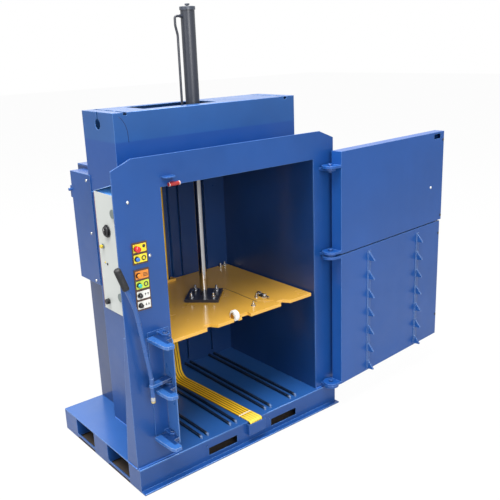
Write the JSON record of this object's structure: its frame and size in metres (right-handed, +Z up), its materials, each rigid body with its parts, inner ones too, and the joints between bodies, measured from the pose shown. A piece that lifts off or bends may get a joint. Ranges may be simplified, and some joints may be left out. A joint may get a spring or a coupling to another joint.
{
  "type": "vertical recycling baler",
  "caption": "Upright press with an open front chamber, two side-hung doors, a yellow press plate on a hydraulic rod, an ejector strap and a slotted pallet base.",
  "frame": {"origin": "centre of the base's footprint at floor level", "axes": "+X to the machine's right, +Y to its rear, +Z up"},
  "size_m": [2.1265, 0.91, 2.039],
  "materials": {
    "blue_paint": "gloss",
    "yellow_paint": "gloss",
    "grey_paint": "satin",
    "dark_steel": "satin",
    "chrome": "polished",
    "zinc": "bright zinc plate",
    "strap_web": "ribbed",
    "nylon": "matte",
    "panel_white": "satin",
    "black_plastic": "matte",
    "red_plastic": "gloss",
    "blue_plastic": "gloss",
    "amber_plastic": "gloss",
    "teal_plastic": "gloss",
    "yellow_plastic": "gloss",
    "brown_plate": "matte",
    "legend_plastic": "matte",
    "pipe_metal": "satin",
    "motor_metal": "cast"
  },
  "bodies": {
    "machine_frame": {"base_deck": "blue_paint", "pallet_frame": "blue_paint", "twine_guides": "dark_steel", "front_frame": "blue_paint", "chamber_left_wall": "blue_paint", "chamber_right_wall": "blue_paint", "chamber_back_wall": "blue_paint", "chamber_roof": "blue_paint", "wall_ribs": "blue_paint", "top_housing": "blue_paint", "side_cabinet": "blue_paint", "control_panel": "panel_white", "panel_fittings": "black_plastic", "switchgear": "black_plastic", "rear_cover_box": "blue_paint", "dome_screws": "zinc", "oil_tank": "dark_steel", "pump_unit": "motor_metal", "cylinder_flange": "grey_paint", "cylinder_barrel": "grey_paint", "cylinder_cap": "grey_paint", "pipe_fittings": "dark_steel", "oil_pipe": "dark_steel", "supply_pipe": "pipe_metal", "ejector_strap": "strap_web", "strap_fixings": "blue_paint", "frame_lugs": "blue_paint", "hinge_pins": "blue_paint", "station_plates": "brown_plate", "legend_plates": "legend_plastic", "button_bezels": "black_plastic", "switch_bracket": "blue_paint", "safety_switch": "red_plastic"},
    "press_plate": {"platen": "yellow_paint", "platen_bolts": "zinc", "rod_foot": "dark_steel", "foot_bolts": "zinc", "piston_rod": "chrome"},
    "roller": {"guide_roller": "nylon"},
    "latch": {"latch_pin": "zinc"},
    "upper_door_leaf": {"upper_door": "blue_paint", "upper_door_skin": "blue_paint"},
    "lower_door_leaf": {"lower_door": "blue_paint", "lower_door_skin": "blue_paint", "door_teeth": "blue_paint"},
    "door_lock": {"lock_bar": "blue_paint", "lock_hooks": "blue_paint", "lever_pin": "zinc", "lock_lever": "blue_paint", "lever_grip": "black_plastic"},
    "stop_key": {"stop_button": "red_plastic"},
    "reset_key": {"reset_button": "blue_plastic"},
    "amber_key": {"amber_button": "amber_plastic"},
    "teal_key": {"teal_button": "teal_plastic"},
    "down_key": {"down_button": "black_plastic"},
    "up_key": {"up_button": "black_plastic"},
    "isolator": {"isolator_knob": "black_plastic"},
    "panel_key": {"panel_button": "yellow_plastic"},
    "panel_dial": {"panel_knob": "black_plastic"}
  },
  "joints": [
    {"name": "platen_slide", "type": "slide", "parent": "machine_frame", "child": "press_plate", "axis": [0, 0, 1], "range_m": [-0.02, 0.59]},
    {"name": "upper_door_hinge", "type": "hinge", "parent": "machine_frame", "child": "upper_door_leaf", "pos_m": [0.537, -0.404, 1.1], "axis": [0, 0, 1], "range_deg": [-184.5, 0]},
    {"name": "lower_door_hinge", "type": "hinge", "parent": "machine_frame", "child": "lower_door_leaf", "pos_m": [0.537, -0.404, 0.49], "axis": [0, 0, 1], "range_deg": [-184.5, 0]},
    {"name": "door_lock_turn", "type": "hinge", "parent": "machine_frame", "child": "door_lock", "pos_m": [-0.437, -0.396, 0.46], "axis": [0, 0, 1], "range_deg": [0, 90]},
    {"name": "roller_spin", "type": "hinge", "parent": "press_plate", "child": "roller", "pos_m": [-0.019, -0.33, 0.654], "axis": [1, 0, 0], "continuous": true},
    {"name": "latch_slide", "type": "slide", "parent": "press_plate", "child": "latch", "axis": [0, 1, 0], "range_m": [0, 0.025], "stiffness_N_per_m": 300, "springref_m": -0.004},
    {"name": "stop_press", "type": "slide", "parent": "machine_frame", "child": "stop_key", "axis": [0, 1, 0], "range_m": [0, 0.003], "stiffness_N_per_m": 800, "springref_m": -0.001},
    {"name": "reset_press", "type": "slide", "parent": "machine_frame", "child": "reset_key", "axis": [0, 1, 0], "range_m": [0, 0.003], "stiffness_N_per_m": 800, "springref_m": -0.001},
    {"name": "amber_press", "type": "slide", "parent": "machine_frame", "child": "amber_key", "axis": [0, 1, 0], "range_m": [0, 0.003], "stiffness_N_per_m": 800, "springref_m": -0.001},
    {"name": "teal_press", "type": "slide", "parent": "machine_frame", "child": "teal_key", "axis": [0, 1, 0], "range_m": [0, 0.003], "stiffness_N_per_m": 800, "springref_m": -0.001},
    {"name": "down_press", "type": "slide", "parent": "machine_frame", "child": "down_key", "axis": [0, 1, 0], "range_m": [0, 0.003], "stiffness_N_per_m": 800, "springref_m": -0.001},
    {"name": "up_press", "type": "slide", "parent": "machine_frame", "child": "up_key", "axis": [0, 1, 0], "range_m": [0, 0.003], "stiffness_N_per_m": 800, "springref_m": -0.001},
    {"name": "isolator_turn", "type": "hinge", "parent": "machine_frame", "child": "isolator", "pos_m": [-0.453, -0.002, 1.084], "axis": [-1, 0, 0], "range_deg": [0, 90]},
    {"name": "panel_press", "type": "slide", "parent": "machine_frame", "child": "panel_key", "axis": [1, 0, 0], "range_m": [0, 0.003], "stiffness_N_per_m": 800, "springref_m": -0.001},
    {"name": "panel_dial_turn", "type": "hinge", "parent": "machine_frame", "child": "panel_dial", "pos_m": [-0.453, 0.045, 0.742], "axis": [-1, 0, 0], "range_deg": [-135, 135]}
  ]
}
